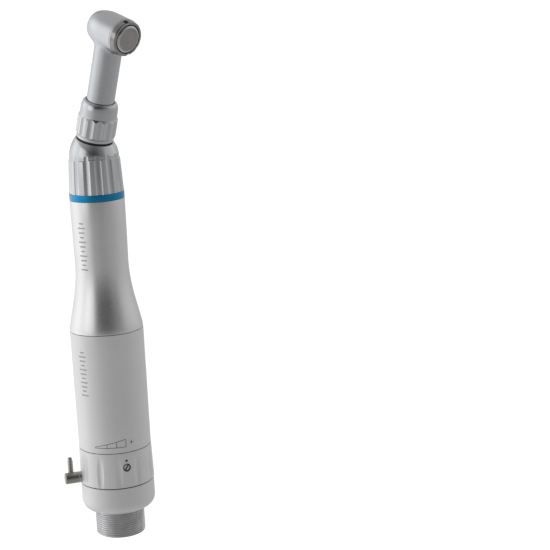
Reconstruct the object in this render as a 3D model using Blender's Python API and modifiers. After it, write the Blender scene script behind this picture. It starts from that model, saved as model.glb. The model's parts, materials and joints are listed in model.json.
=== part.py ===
"""Dental contra-angle handpiece on an air motor.

+Z runs up the motor from the flat rear face of the hose connector, and the neck bends towards +X.
Outlines are (radius, height) in millimetres; objects are placed in metres.
"""

import math

import bmesh
import bpy

MM = 0.001

# Driving dimensions (millimetres and degrees)
MOTOR_R = 10.0
SHELL_BORE_R = 8.8
INNER_R = 8.5
BOSS_R = 6.8
BOSS_TOP = 7.0
CAP_BOTTOM, CAP_TOP = 7.3, 15.2
CAP_R = 10.15
RING_BOTTOM, RING_TOP = 15.55, 25.25
RING_BOTTOM_R, RING_TOP_R = 10.25, 9.95
HOUSING_BOTTOM, HOUSING_TOP = 25.55, 58.4
SHANK_BOTTOM, SHANK_TOP, SHANK_TOP_R = 58.8, 94.3, 7.4
SHANK_WAIST, SHANK_WAIST_R = 77.0, 7.25
GRIP_BOTTOM, GRIP_SHOULDER = 96.35, 105.6
GRIP_BOTTOM_R, GRIP_TOP_R = 7.35, 6.9
BEND_HEIGHT, BEND_ANGLE = 108.4, 18.7
NECK_R, NECK_BORE_R = 3.7, 2.95
NECK_LENGTH = 32.65
HEAD_R, HEAD_BORE_R = 4.87, 3.9
HEAD_NOSE, HEAD_RIM, CAP_FACE = -5.5, 4.55, 6.7
BUTTON_R, BUTTON_OUT = 3.6, 7.0
BUR_BORE_R = 1.2
NOTCH_ANGLES = (14, 194)
FLUTES = 14
FLUTE_START = -8.1         # degrees round each axis to the first flute's middle
SCALLOPS = 12
GEAR_TEETH = 12
VANES = 4
SCREW_ANGLE, SCREW_HEIGHT = -24.3, 21.2
SELECTOR_SWEEP = 100.0
ELBOW_ANGLE, ELBOW_HEIGHT = -120.1, 17.1
SCALLOP_START = 22.9

# Colour, roughness and metallic value of each finish
LOOKS = {
    "satin aluminium": ((0.62, 0.63, 0.65), 0.38, 1.0),
    "bright steel": ((0.70, 0.70, 0.70), 0.18, 1.0),
    "steel": ((0.55, 0.55, 0.56), 0.30, 1.0),
    "dark steel": ((0.22, 0.22, 0.23), 0.40, 1.0),
    "nickel brass": ((0.36, 0.34, 0.29), 0.32, 1.0),
    "brass": ((0.72, 0.55, 0.26), 0.30, 1.0),
    "blue anodised": ((0.00, 0.22, 0.62), 0.28, 0.9),
    "black rubber": ((0.02, 0.02, 0.02), 0.65, 0.0),
    "brown phenolic": ((0.28, 0.16, 0.08), 0.60, 0.0),
}


def clear_scene():
    for thing in list(bpy.data.objects):
        bpy.data.objects.remove(thing, do_unlink=True)


def new_collection(name):
    made = bpy.data.collections.new(name)
    bpy.context.scene.collection.children.link(made)
    return made


def finish(name, look):
    colour, roughness, metallic = LOOKS[look]
    material = bpy.data.materials.new(name)
    material.use_nodes = True
    shader = material.node_tree.nodes["Principled BSDF"]
    shader.inputs["Base Color"].default_value = (*colour, 1.0)
    shader.inputs["Roughness"].default_value = roughness
    shader.inputs["Metallic"].default_value = metallic
    return material


def add(name, mesh, look=None, frame=None):
    """A part when it has a look, otherwise a cutter or a piece to be joined."""
    thing = bpy.data.objects.new(name, mesh)
    thing.parent = frame
    if look:
        mesh.materials.append(finish(name + "_finish", look))
        parts.objects.link(thing)
        return thing
    thing.hide_render = True
    thing.display_type = "WIRE"
    cutters.objects.link(thing)
    return thing


def frame_at(name, place, turn=(0, 0, 0)):
    frame = bpy.data.objects.new(name, None)
    frame.location = [value * MM for value in place]
    frame.rotation_euler = [math.radians(value) for value in turn]
    frame.empty_display_size = 3 * MM
    parts.objects.link(frame)
    return frame


def ring(inner, outer, bottom, top):
    return [(outer, top), (outer, bottom), (inner, bottom), (inner, top)]


def rod(radius, bottom, top):
    return [(0, top), (radius, top), (radius, bottom), (0, bottom)]


def arc(centre, radius, start, end, points):
    """Outline points on an arc, the angle measured from straight outwards, in degrees."""
    turns = [math.radians(start + (end - start) * i / (points - 1)) for i in range(points)]
    return [(centre[0] + radius * math.cos(a), centre[1] + radius * math.sin(a)) for a in turns]


def turned(name, outline, look=None, frame=None, steps=24):
    """A profile turned round Z: it runs down its outer side and, unless it meets the axis, closes."""
    bm = bmesh.new()
    verts = [bm.verts.new((radius * MM, 0, height * MM)) for radius, height in outline]
    for start, end in zip(verts, verts[1:]):
        bm.edges.new((start, end))
    if outline[0][0] > 0:
        bm.edges.new((verts[-1], verts[0]))
    mesh = bpy.data.meshes.new(name)
    bm.to_mesh(mesh)
    bm.free()
    thing = add(name, mesh, look, frame)
    screw = thing.modifiers.new("turn", "SCREW")
    screw.steps = steps
    screw.render_steps = steps
    screw.use_merge_vertices = True
    screw.merge_threshold = 0.000005
    screw.use_smooth_shade = True
    return thing


def solid_mesh(name, bm, look=None, frame=None):
    bmesh.ops.recalc_face_normals(bm, faces=bm.faces)
    mesh = bpy.data.meshes.new(name)
    bm.to_mesh(mesh)
    bm.free()
    return add(name, mesh, look, frame)


def boxes(name, size, radius, height, angles, look=None, frame=None):
    """Boxes of size (radial, tangential, axial) round Z, their centres at a radius and height."""
    bm = bmesh.new()
    for angle in angles:
        made = bmesh.ops.create_cube(bm, size=1)["verts"]
        bmesh.ops.scale(bm, verts=made, vec=[value * MM for value in size])
        bmesh.ops.translate(bm, verts=made, vec=(radius * MM, 0, height * MM))
        turn_about_z(bm, made, angle)
    return solid_mesh(name, bm, look, frame)


def rods_round(name, radius, bottom, top, places, frame=None, segments=12):
    """Upright cylinders at places given as (distance from the axis, angle)."""
    bm = bmesh.new()
    for distance, angle in places:
        made = bmesh.ops.create_cone(
            bm, cap_ends=True, segments=segments,
            radius1=radius * MM, radius2=radius * MM, depth=(top - bottom) * MM,
        )["verts"]
        bmesh.ops.translate(bm, verts=made, vec=(distance * MM, 0, (bottom + top) / 2 * MM))
        turn_about_z(bm, made, angle)
    return solid_mesh(name, bm, None, frame)


def flute_places(distance):
    return [(distance, FLUTE_START + 360 * i / FLUTES) for i in range(FLUTES)]


def turn_about_z(bm, verts, angle):
    spin = math.radians(angle)
    for vert in verts:
        x, y, z = vert.co
        vert.co = (x * math.cos(spin) - y * math.sin(spin), x * math.sin(spin) + y * math.cos(spin), z)


def sectors(name, outline, spans, look=None, frame=None, step=15.0):
    """Solid sectors of a turned ring: the outline swept through each (start, end) angle."""
    bm = bmesh.new()
    for start, end in spans:
        verts = [bm.verts.new((radius * MM, 0, height * MM)) for radius, height in outline]
        face = bm.faces.new(verts)
        turn_about_z(bm, verts, start)
        bmesh.ops.spin(
            bm, geom=[*verts, *face.edges, face], cent=(0, 0, 0), axis=(0, 0, 1),
            angle=math.radians(end - start), steps=max(1, round((end - start) / step)),
        )
    return solid_mesh(name, bm, look, frame)


def combine(thing, other, operation):
    change = thing.modifiers.new(other.name, "BOOLEAN")
    change.operation = operation
    change.object = other
    return thing


def cut(thing, *others):
    for other in others:
        combine(thing, other, "DIFFERENCE")
    return thing


def join(thing, *others):
    for other in others:
        combine(thing, other, "UNION")
    return thing


def bevel_teeth(name, half_angle, outer_r, inner_r, first_angle, frame):
    """Tapered teeth on a pitch cone with its apex at the frame's origin and its gear towards +Z."""
    tip, root = 0.28, 0.60
    tip_half, root_half = 0.15, 0.30
    cone = math.radians(half_angle)
    bm = bmesh.new()
    for i in range(GEAR_TEETH):
        made = bmesh.ops.create_cube(bm, size=2)["verts"]
        for vert in made:
            outwards, side, height = vert.co
            radius = outer_r if outwards > 0 else inner_r
            share = radius / outer_r
            rise = (tip if height > 0 else -root) * share
            half = (tip_half if height > 0 else root_half) * share
            along = radius / math.sin(cone)
            vert.co = (
                (along * math.sin(cone) + rise * math.cos(cone)) * MM,
                side * half * MM,
                (along * math.cos(cone) - rise * math.sin(cone)) * MM,
            )
        turn_about_z(bm, made, first_angle + 360 * i / GEAR_TEETH)
    return solid_mesh(name, bm, None, frame)


def bevel_gear(name, half_angle, outer_r, inner_r, back, bore_r, first_angle, look, frame):
    """A bevel gear: root cone, flat back and bore, with its teeth joined on."""
    root = 0.42
    cone = math.radians(half_angle)
    edge = []
    for radius in (inner_r, outer_r):
        along = radius / math.sin(cone)
        drop = root * radius / outer_r
        edge.append((
            along * math.sin(cone) - drop * math.cos(cone),
            along * math.cos(cone) + drop * math.sin(cone),
        ))
    (inner_x, inner_z), (outer_x, outer_z) = edge
    outline = [(outer_x, back), (outer_x, outer_z), (inner_x, inner_z), (bore_r, inner_z), (bore_r, back)]
    gear = turned(name, outline, look, frame, steps=24)
    return join(gear, bevel_teeth(name + "_teeth", half_angle, outer_r, inner_r, first_angle, frame))


# ---- rear end: hose connector, air and water tubes, cap ----

TUBES = {
    "exhaust_tube": (1.45, 3.75, 90),
    "drive_air_tube": (1.2, 3.75, -90),
    "water_tube": (0.85, 3.9, 0),
    "chip_air_tube": (0.85, 3.9, 180),
}
TUBE_GAP = 0.25


def make_rear_end():
    stem_r, stem_top = 5.6, 14.0
    connector = turned(
        "hose_connector",
        [(0, stem_top), (stem_r, stem_top), (stem_r, BOSS_TOP), (BOSS_R, BOSS_TOP),
         (BOSS_R, 0.25), (BOSS_R - 0.25, 0), (0, 0)],
        "steel",
    )
    gasket = turned("rear_gasket", rod(6.7, 14.35, 15.05), "black rubber")
    for name, (radius, distance, angle) in TUBES.items():
        place = (distance * math.cos(math.radians(angle)), distance * math.sin(math.radians(angle)), 0)
        seat = frame_at(name + "_seat", place)
        turned(name, ring(radius - 0.4, radius, 0.6, 14.1), "bright steel", seat, steps=12)
        hole = rods_round(name + "_hole", radius + TUBE_GAP, -1, 16, [(distance, angle)])
        cut(connector, hole)
        cut(gasket, hole)
    shoulder_r = 3.0
    shoulder = arc((CAP_R - shoulder_r, CAP_BOTTOM + shoulder_r), shoulder_r, 0, -68, 5)
    outer = [(CAP_R, CAP_TOP), *shoulder, (BOSS_R + 0.4, CAP_BOTTOM)]
    inner = [(stem_r + 0.3, CAP_BOTTOM), (stem_r + 0.3, 9.4), (8.0, 9.4), (8.9, 10.4), (8.9, CAP_TOP)]
    turned("rear_cap", outer + inner, "satin aluminium", steps=32)


# ---- speed and direction selector ----


def radial_frame(name, angle, height):
    """A frame whose +Z points straight out from the motor's axis."""
    return frame_at(name, (0, 0, height), (0, 90, angle))


def make_selector():
    groove, depth = 0.8, 0.45
    body_r, skirt_r, bore_r = 8.0, 8.6, 6.95
    grooves = []
    for middle in (24.3, 16.7):
        high, low = middle + groove / 2, middle - groove / 2
        grooves += [(body_r, high), (body_r - depth, high), (body_r - depth, low), (body_r, low)]
    valve_body = turned(
        "valve_body",
        [(0, 17.2), (bore_r, 17.2), (bore_r, 28.3), (INNER_R, 28.3), (INNER_R, 25.6), (body_r, 25.6),
         *grooves, (body_r, 15.3), (skirt_r, 15.3), (skirt_r, 10.7), (7.0, 10.7), (7.0, 15.4), (0, 15.4)],
        "brass",
    )
    ports = [(distance, angle) for _, distance, angle in TUBES.values()]
    cut(valve_body, rods_round("valve_body_ports", 0.9, 14, 18.4, ports))
    slot = sectors(
        "selector_stop_slot",
        ring(5.8, 9.8, SCREW_HEIGHT - 0.85, SCREW_HEIGHT + 0.85),
        [(SCREW_ANGLE - SELECTOR_SWEEP - 8, SCREW_ANGLE + 8)],
    )
    cut(valve_body, slot)
    for name, middle in (("selector_oring_front", 24.3), ("selector_oring_rear", 16.7)):
        section = arc((7.89, middle), 0.28, 90, -210, 6)
        turned(name, section, "black rubber")

    screw_frame = radial_frame("screw_frame", SCREW_ANGLE, SCREW_HEIGHT)
    elbow_frame = radial_frame("elbow_frame", ELBOW_ANGLE, ELBOW_HEIGHT)
    selector = turned(
        "selector_ring",
        [(RING_TOP_R - 0.15, RING_TOP), (RING_TOP_R, RING_TOP - 0.15), (RING_BOTTOM_R, RING_BOTTOM + 0.15),
         (RING_BOTTOM_R - 0.15, RING_BOTTOM), (8.3, RING_BOTTOM), (8.3, RING_TOP)],
        "satin aluminium", steps=36,
    )
    scallop_r, scallop_depth = 2.35, 0.25
    scallop_at = (RING_TOP_R + RING_BOTTOM_R) / 2 + scallop_r - scallop_depth
    places = [(scallop_at, SCALLOP_START + 360 * i / SCALLOPS) for i in range(SCALLOPS)]
    cut(selector, rods_round("ring_scallops", scallop_r, RING_BOTTOM + 0.9, RING_TOP - 0.9, places))
    cut(selector, turned("screw_hole", rod(1.15, 7.5, 12), None, screw_frame, steps=12))
    cut(selector, turned("elbow_hole", rod(1.15, 7.5, 12), None, elbow_frame, steps=12))

    screw = turned(
        "selector_screw",
        [(0, 9.85), (0.95, 9.85), (0.95, 8.7), (0.6, 8.7), (0.6, 5.6), (0, 5.6)],
        "bright steel", screw_frame, steps=12,
    )
    cut(screw, boxes("screw_slot", (0.35, 2.4, 0.5), 0, 9.85, [0], None, screw_frame))
    valve = turned("rotary_valve", ring(2.2, 6.6, 17.6, 24.9), "brown phenolic")
    cut(valve, turned("valve_screw_hole", rod(0.85, 5.0, 8.0), None, screw_frame, steps=8))
    valve_ports = [(4.4, 45 + 90 * i) for i in range(4)]
    cut(valve, rods_round("valve_ports", 1.0, 16, 26, valve_ports, segments=8))


def make_water_inlet():
    frame = bpy.data.objects["elbow_frame"]
    stub_start, stub_end, stub_r = 10.6, 14.65, 1.55
    nipple_at = stub_end - 1.7
    elbow = turned(
        "water_elbow",
        [(0, stub_end), (stub_r - 0.2, stub_end), (stub_r, stub_end - 0.2), (stub_r, stub_start),
         (0.85, stub_start), (0.85, 8.6), (0, 8.6)],
        "nickel brass", frame, steps=16,
    )
    cut(elbow, turned("elbow_bore", rod(0.4, 8, nipple_at), None, frame, steps=8))
    spin = math.radians(ELBOW_ANGLE)
    nipple_frame = frame_at(
        "nipple_frame",
        (nipple_at * math.cos(spin), nipple_at * math.sin(spin), ELBOW_HEIGHT),
    )
    cut(elbow, turned("nipple_seat", rod(0.95, -0.5, 3), None, nipple_frame, steps=12))
    turned("spray_nipple", ring(0.4, 0.72, -0.2, 5.85), "nickel brass", nipple_frame, steps=12)


# ---- air motor ----

LINER_BOTTOM, LINER_TOP = 31.5, 49.5
ROTOR_R, LINER_BORE_R, LINER_OFFSET = 5.0, 5.9, 0.5
BEARING_R, BEARING_BORE_R = 3.4, 1.55


def make_motor_shell():
    turned(
        "motor_housing",
        [(MOTOR_R, HOUSING_TOP), (RING_TOP_R - 0.05, HOUSING_BOTTOM), (SHELL_BORE_R, HOUSING_BOTTOM),
         (SHELL_BORE_R, HOUSING_TOP)],
        "satin aluminium", steps=32,
    )
    nose_r, nose_top, bore_r = 6.1, 75.0, 4.3
    outline = [(nose_r - 0.4, nose_top), (nose_r, nose_top - 0.4)]
    for middle, depth in ((71.0, 0.6), (66.0, 0.55)):
        high, low = middle + 0.5, middle - 0.5
        outline += [(nose_r, high), (nose_r - depth, high), (nose_r - depth, low), (nose_r, low)]
    outline += [(nose_r, 58.15), (INNER_R, 58.15), (INNER_R, 52.6), (2.0, 52.6), (2.0, 56.2)]
    outline += [(bore_r, 56.2), (bore_r, nose_top)]
    turned("motor_nose", outline, "steel", steps=20)
    turned("nose_oring", arc((5.92, 66.0), 0.31, 90, -210, 6), "black rubber", steps=20)
    sectors("snap_ring", ring(5.62, 6.22, 70.7, 71.3), [(20, 340)], "dark steel", None, step=16)


def make_air_engine():
    for name, bottom, bearing_name in (
        ("rear_end_plate", 28.7, "rear_bearing"),
        ("front_end_plate", 49.8, "front_bearing"),
    ):
        plate = turned(name, ring(BEARING_R + 0.25, INNER_R, bottom, bottom + 2.4), "steel")
        ports = [(6.2, 120 * i) for i in range(3)]
        cut(plate, rods_round(name + "_ports", 0.9, bottom - 1, bottom + 4, ports, segments=8))
        turned(bearing_name, ring(BEARING_BORE_R, BEARING_R, bottom + 0.2, bottom + 2.2),
               "bright steel", steps=16)
    liner = turned("cylinder_liner", rod(INNER_R, LINER_BOTTOM, LINER_TOP), "steel")
    bore_frame = frame_at("liner_bore_frame", (LINER_OFFSET, 0, 0))
    cut(liner, turned("liner_bore", rod(LINER_BORE_R, 30, 51), None, bore_frame))
    inlet = boxes("liner_ports", (5, 1.2, 9), 7.5, 40.5, [70, -70])
    cut(liner, inlet)

    shaft_r, shaft_bottom, shaft_top = 1.35, 28.6, 58.0
    rotor_bottom, rotor_top = LINER_BOTTOM + 0.3, LINER_TOP - 0.3
    rotor = turned(
        "rotor",
        [(0, shaft_top), (shaft_r, shaft_top), (shaft_r, rotor_top), (ROTOR_R, rotor_top),
         (ROTOR_R, rotor_bottom), (shaft_r, rotor_bottom), (shaft_r, shaft_bottom), (0, shaft_bottom)],
        "dark steel",
    )
    angles = [45 + 360 * i / VANES for i in range(VANES)]
    slot_depth, slot_width = 2.5, 1.0
    cut(rotor, boxes("rotor_slots", (slot_depth * 2, slot_width, 22), ROTOR_R, 40.5, angles))
    vane_size = (2.2, 0.7, rotor_top - rotor_bottom - 0.4)
    for i, angle in enumerate(angles, 1):
        boxes(f"vane_{i}", vane_size, ROTOR_R - vane_size[0] / 2, 40.5, [angle], "brown phenolic")


# ---- drive through the contra-angle ----


def make_dogs():
    lug = 35
    for name, body, lugs, first in (
        ("output_dog", ring(1.6, 3.0, 57.0, 60.6), ring(1.9, 3.0, 60.4, 62.8), 0),
        ("input_dog", ring(1.75, 3.0, 63.2, 66.6), ring(1.9, 3.0, 61.0, 63.4), 90),
    ):
        spans = [(first + turn - lug, first + turn + lug) for turn in (0, 180)]
        join(turned(name, body, "steel", steps=24), sectors(name + "_lugs", lugs, spans))


def make_drive(bend_low, bend_high, pinion_frame, head_frame):
    bend_cone = 90 - BEND_ANGLE / 2
    bend_r, bend_inner_r, gear_back = 2.55, 1.8, 2.4
    pinion_r, pinion_inner_r, pinion_back, spindle_back = 2.6, 2.05, 3.9, 3.5
    shaft_r, spindle_r = 1.4, 1.6
    half_pitch = 180 / GEAR_TEETH
    turned("input_shaft", rod(shaft_r, 63.5, BEND_HEIGHT - 0.95), "steel", steps=16)
    bevel_gear("bend_drive_gear", bend_cone, bend_r, bend_inner_r, gear_back, shaft_r + 0.1, 0,
               "dark steel", bend_low)
    bevel_gear("bend_driven_gear", bend_cone, bend_r, bend_inner_r, gear_back, shaft_r + 0.1, half_pitch,
               "dark steel", bend_high)
    turned("neck_shaft", rod(shaft_r, 0.95, NECK_LENGTH - 2.6), "steel", bend_high, steps=16)
    bevel_gear("head_pinion", 45, pinion_r, pinion_inner_r, pinion_back, shaft_r + 0.1, 0,
               "dark steel", pinion_frame)
    bevel_gear("spindle_gear", 45, pinion_r, pinion_inner_r, spindle_back, spindle_r + 0.1, half_pitch,
               "dark steel", head_frame)


def make_bearings(bend_high, head_frame):
    places = (
        ("shank_bearing_rear", 4.4, 1.55, 78.0, 82.0, None),
        ("shank_bearing_front", 3.4, 1.55, 99.2, 103.2, None),
        ("neck_bearing_rear", 2.75, 1.55, 4.0, 7.0, bend_high),
        ("neck_bearing_front", 2.75, 1.55, 23.5, 26.5, bend_high),
        ("head_bearing_lower", 3.0, 1.75, -4.6, -3.1, head_frame),
        ("head_bearing_upper", 3.15, 1.75, 3.85, 4.85, head_frame),
    )
    for name, outer, inner, bottom, top, frame in places:
        turned(name, ring(inner, outer, bottom, top), "bright steel", frame, steps=16)


# ---- contra-angle sheath: shank, ring, grip ----


def smooth_step(share):
    return share * share * (3 - 2 * share)


def shank_flare(points=8):
    """From the waist down to the motor, quick at the motor and slow at the waist."""
    span = SHANK_WAIST - SHANK_BOTTOM
    rows = []
    for i in range(points):
        share = 1 - i / (points - 1)
        swell = 1 - smooth_step(share ** 0.72)
        radius = SHANK_WAIST_R + (MOTOR_R - SHANK_WAIST_R) * swell
        rows.append((radius, SHANK_BOTTOM + span * share))
    return rows


def make_shank():
    outer = [(5.2, 104.3), (5.2, 99.4), (6.2, 99.4), (6.2, SHANK_TOP), (SHANK_TOP_R, SHANK_TOP)]
    outer += shank_flare()
    inner = [(6.4, SHANK_BOTTOM), (6.4, 76.0), (4.65, 76.0), (4.65, 98.0), (3.65, 98.0), (3.65, 104.3)]
    turned("shank", outer + inner, "satin aluminium", steps=32)
    turned("blue_ring", ring(6.45, SHANK_TOP_R, 94.6, 96.05), "blue anodised", steps=32)


def make_grip(bend_high):
    flat_t, flat_r, cone_slope = 2.15, 5.15, 50
    dome_r = 10.0
    spigot_r, spigot_top, bore_r = 4.4, 7.2, 4.05
    dome = arc((GRIP_TOP_R - dome_r, GRIP_SHOULDER), dome_r, 48, 0, 6)
    outer = [(0, dome[0][1]), *dome, (GRIP_BOTTOM_R, GRIP_BOTTOM), (6.45, GRIP_BOTTOM)]
    inner = [(6.45, 99.8), (5.5, 99.8), (5.5, 105.4), (0, 105.4)]
    grip = turned("grip_collar", outer + inner, "satin aluminium", steps=28)
    drop = 3.5
    cone = turned(
        "grip_cone",
        [(14, 9), (14, flat_t - drop), (flat_r + drop / math.tan(math.radians(cone_slope)), flat_t - drop),
         (flat_r, flat_t), (3.0, flat_t), (3.0, 9)],
        None, bend_high,
    )
    cut(grip, cone)
    join(grip, turned("grip_spigot", rod(spigot_r, 1.0, spigot_top), None, bend_high))
    cut(grip, turned("grip_neck_bore", rod(bore_r, -3.4, 9), None, bend_high))
    flute_r, flute_depth = 1.7, 0.34
    middle_r = (GRIP_BOTTOM_R + GRIP_TOP_R) / 2
    places = flute_places(middle_r + flute_r - flute_depth)
    cut(grip, rods_round("grip_flutes", flute_r, GRIP_BOTTOM - 2, GRIP_SHOULDER - 1.1, places))
    turned("bend_oring", arc((4.7, 2.6), 0.27, 90, -210, 6), "black rubber", bend_high, steps=24)


def make_ring_nut(bend_high):
    top, opening_r, smooth_r, flute_top_r = 13.6, 3.95, 4.95, 5.33
    dome = []
    for i in range(4):
        angle = math.radians(30 * i)
        radius = opening_r + (smooth_r - opening_r) * math.sin(angle)
        dome.append((radius, 11.0 + (top - 11.0) * math.cos(angle)))
    outline = [
        *dome, (smooth_r + 0.03, 8.95), (flute_top_r, 8.3), (flute_top_r, 4.15), (5.0, 3.8), (5.0, 3.15),
        (4.68, 3.15), (4.68, 7.6), (opening_r, 7.6),
    ]
    nut = turned("ring_nut", outline, "satin aluminium", bend_high, steps=28)
    flute_r, flute_depth = 1.5, 0.28
    places = flute_places(flute_top_r + flute_r - flute_depth)
    cut(nut, rods_round("nut_flutes", flute_r, 3.0, 7.75, places, bend_high))


# ---- head ----


def make_head(bend_high, head_frame):
    neck = turned("neck_tube", rod(NECK_R, 0.6, NECK_LENGTH), None, bend_high)
    nose_flat = 3.6
    outer = [(0, HEAD_RIM), (HEAD_R, HEAD_RIM), (HEAD_R, 0.4), (HEAD_R - 0.1, -1.4), (HEAD_R - 0.3, -2.8)]
    outer += [(HEAD_R - 0.6, -4.1), (HEAD_R - 0.95, -5.1), (nose_flat, HEAD_NOSE), (0, HEAD_NOSE)]
    housing = turned("head_housing", outer, "satin aluminium", head_frame, steps=28)
    join(housing, neck)
    pocket_r, pocket_floor, web = 3.25, -4.75, -2.95
    bore = [(0, 6), (HEAD_BORE_R, 6), (HEAD_BORE_R, web), (pocket_r, web), (pocket_r, pocket_floor)]
    bore += [(1.9, pocket_floor), (1.9, -7), (0, -7)]
    cut(housing, turned("head_bore", bore, None, head_frame))
    cut(housing, turned("neck_bore", rod(NECK_BORE_R, -1, NECK_LENGTH), None, bend_high))

    turned(
        "chuck_spindle",
        [(0, 5.0), (1.5, 5.0), (1.5, 3.7), (1.6, 3.7), (1.6, -5.35), (BUR_BORE_R, -5.35),
         (BUR_BORE_R, 3.0), (0, 3.0)],
        "steel", head_frame, steps=16,
    )
    cap = turned(
        "head_cap",
        [(4.4, CAP_FACE), (4.5, CAP_FACE - 0.2), (4.85, 5.2), (4.85, 4.85), (3.7, 4.85), (3.7, 3.7),
         (3.4, 3.7), (3.4, 5.15), (BUTTON_R + 0.3, 5.15), (BUTTON_R + 0.3, CAP_FACE)],
        "bright steel", head_frame, steps=28,
    )
    cut(cap, boxes("cap_notches", (2.4, 1.0, 1.1), 4.9, CAP_FACE, NOTCH_ANGLES, None, head_frame))
    turned(
        "push_button",
        [(0, BUTTON_OUT), (BUTTON_R - 0.45, BUTTON_OUT), (BUTTON_R, BUTTON_OUT - 0.25), (BUTTON_R, 6.1),
         (BUTTON_R - 0.5, 6.1), (BUTTON_R - 0.5, BUTTON_OUT - 0.45), (0, BUTTON_OUT - 0.45)],
        "bright steel", head_frame, steps=28,
    )
    make_button_spring(head_frame)


def make_button_spring(head_frame):
    turns, points_per_turn = 2, 12
    bottom, rise, radius, wire_r = 5.05, 0.5, 2.3, 0.1
    curve = bpy.data.curves.new("button_spring_wire", "CURVE")
    curve.dimensions = "3D"
    curve.bevel_depth = wire_r * MM
    curve.bevel_resolution = 1
    curve.use_fill_caps = True
    count = turns * points_per_turn + 1
    spline = curve.splines.new("POLY")
    spline.points.add(count - 1)
    for i in range(count):
        angle = 2 * math.pi * i / points_per_turn
        height = bottom + rise * i / (count - 1)
        place = (radius * math.cos(angle) * MM, radius * math.sin(angle) * MM, height * MM)
        spline.points[i].co = (*place, 1)
    add("button_spring", curve, "bright steel", head_frame)


clear_scene()
parts = new_collection("contra_angle_handpiece")
cutters = new_collection("cutters")
bend_point = (0, 0, BEND_HEIGHT)
head_lean = math.radians(BEND_ANGLE)
head_point = (
    NECK_LENGTH * math.sin(head_lean), 0, BEND_HEIGHT + NECK_LENGTH * math.cos(head_lean),
)
bend_low_frame = frame_at("bend_low_frame", bend_point, (180, 0, 0))
neck_frame = frame_at("neck_frame", bend_point, (0, BEND_ANGLE, 0))
head_axis_frame = frame_at("head_axis_frame", head_point, (0, 90 + BEND_ANGLE, 0))
pinion_axis_frame = frame_at("pinion_axis_frame", head_point, (0, 180 + BEND_ANGLE, 0))

make_rear_end()
make_selector()
make_water_inlet()
make_motor_shell()
make_air_engine()
make_dogs()
make_drive(bend_low_frame, neck_frame, pinion_axis_frame, head_axis_frame)
make_bearings(neck_frame, head_axis_frame)
make_shank()
make_grip(neck_frame)
make_ring_nut(neck_frame)
make_head(neck_frame, head_axis_frame)
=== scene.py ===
import json
import math

import bmesh
import bpy
import numpy as np
from mathutils import Matrix, Vector

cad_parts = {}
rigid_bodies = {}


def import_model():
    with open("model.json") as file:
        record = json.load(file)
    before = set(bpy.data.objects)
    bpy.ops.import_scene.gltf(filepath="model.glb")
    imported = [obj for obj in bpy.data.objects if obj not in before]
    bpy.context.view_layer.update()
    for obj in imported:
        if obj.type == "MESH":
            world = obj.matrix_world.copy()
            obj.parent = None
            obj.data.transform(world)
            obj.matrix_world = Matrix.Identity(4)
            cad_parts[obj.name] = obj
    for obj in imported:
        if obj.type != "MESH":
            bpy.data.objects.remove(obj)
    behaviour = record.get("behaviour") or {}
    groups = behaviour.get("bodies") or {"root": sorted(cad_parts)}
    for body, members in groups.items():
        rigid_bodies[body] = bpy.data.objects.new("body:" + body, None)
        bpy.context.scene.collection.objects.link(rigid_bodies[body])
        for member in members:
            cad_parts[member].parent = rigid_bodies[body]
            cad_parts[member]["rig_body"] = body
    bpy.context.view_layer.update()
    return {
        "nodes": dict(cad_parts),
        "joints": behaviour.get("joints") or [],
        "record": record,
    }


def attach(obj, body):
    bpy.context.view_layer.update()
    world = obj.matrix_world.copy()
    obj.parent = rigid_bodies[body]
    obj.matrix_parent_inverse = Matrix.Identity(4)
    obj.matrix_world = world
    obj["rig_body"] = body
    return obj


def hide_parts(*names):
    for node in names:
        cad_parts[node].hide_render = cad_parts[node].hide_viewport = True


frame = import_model()
mm = 0.001
print("frame loaded:", len(frame["nodes"]), "nodes")

# the two bent axes come from the joints that turn on them
joints = {joint["name"]: joint for joint in frame["joints"]}


def spaceOn(place, axis, across=(0, 1, 0)):  # Z along the axis, Y across
    z = Vector(axis).normalized()
    x = Vector(across).cross(z).normalized()
    y = z.cross(x)
    turn = Matrix((x, y, z)).transposed().to_4x4()
    return Matrix.Translation(place) @ turn


motorSpace = Matrix.Identity(4)
neckSpace = spaceOn(joints["neck_spin"]["pos_m"], joints["neck_spin"]["axis"])
headSpace = spaceOn(joints["spindle_spin"]["pos_m"], joints["spindle_spin"]["axis"])
neckLength = (headSpace.translation - neckSpace.translation).length / mm


def spaceOut(angle, height):  # Z straight out from the motor's axis, Y round it
    a = math.radians(angle)
    out = (math.cos(a), math.sin(a), 0)
    return spaceOn((0, 0, height * mm), out, (-math.sin(a), math.cos(a), 0))


def spaceUp(distance, angle, height=0):  # Z up, beside the motor's axis
    a = math.radians(angle)
    return Matrix.Translation((distance * math.cos(a) * mm, distance * math.sin(a) * mm, height * mm))


# camera

cameraSetup = {
    "place": (328.74, -277.22, 160.41),   # mm, in the object's own frame
    "turn": (78.16, 2.845, 43.004),       # degrees
    "lens": 104.73,
}


def makeCamera(s):
    data = bpy.data.cameras.new("camera")
    data.lens = s["lens"]
    data.sensor_width = 36
    data.clip_start = 0.01
    data.clip_end = 20
    camera = bpy.data.objects.new("camera", data)
    camera.location = Vector(s["place"]) * mm
    camera.rotation_euler = [math.radians(a) for a in s["turn"]]
    bpy.context.scene.collection.objects.link(camera)
    bpy.context.scene.camera = camera


makeCamera(cameraSetup)


# material nodes

def newMaterial(name):
    material = bpy.data.materials.new(name)
    material.use_nodes = True
    tree = material.node_tree
    return material, tree, tree.nodes["Principled BSDF"]


def addNode(tree, kind, inputs=(), **settings):
    node = tree.nodes.new("ShaderNode" + kind)
    for key, value in settings.items():
        setattr(node, key, value)
    for key, value in dict(inputs).items():
        if isinstance(value, bpy.types.NodeSocket):
            tree.links.new(value, node.inputs[key])
        else:
            node.inputs[key].default_value = value
    return node


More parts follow.
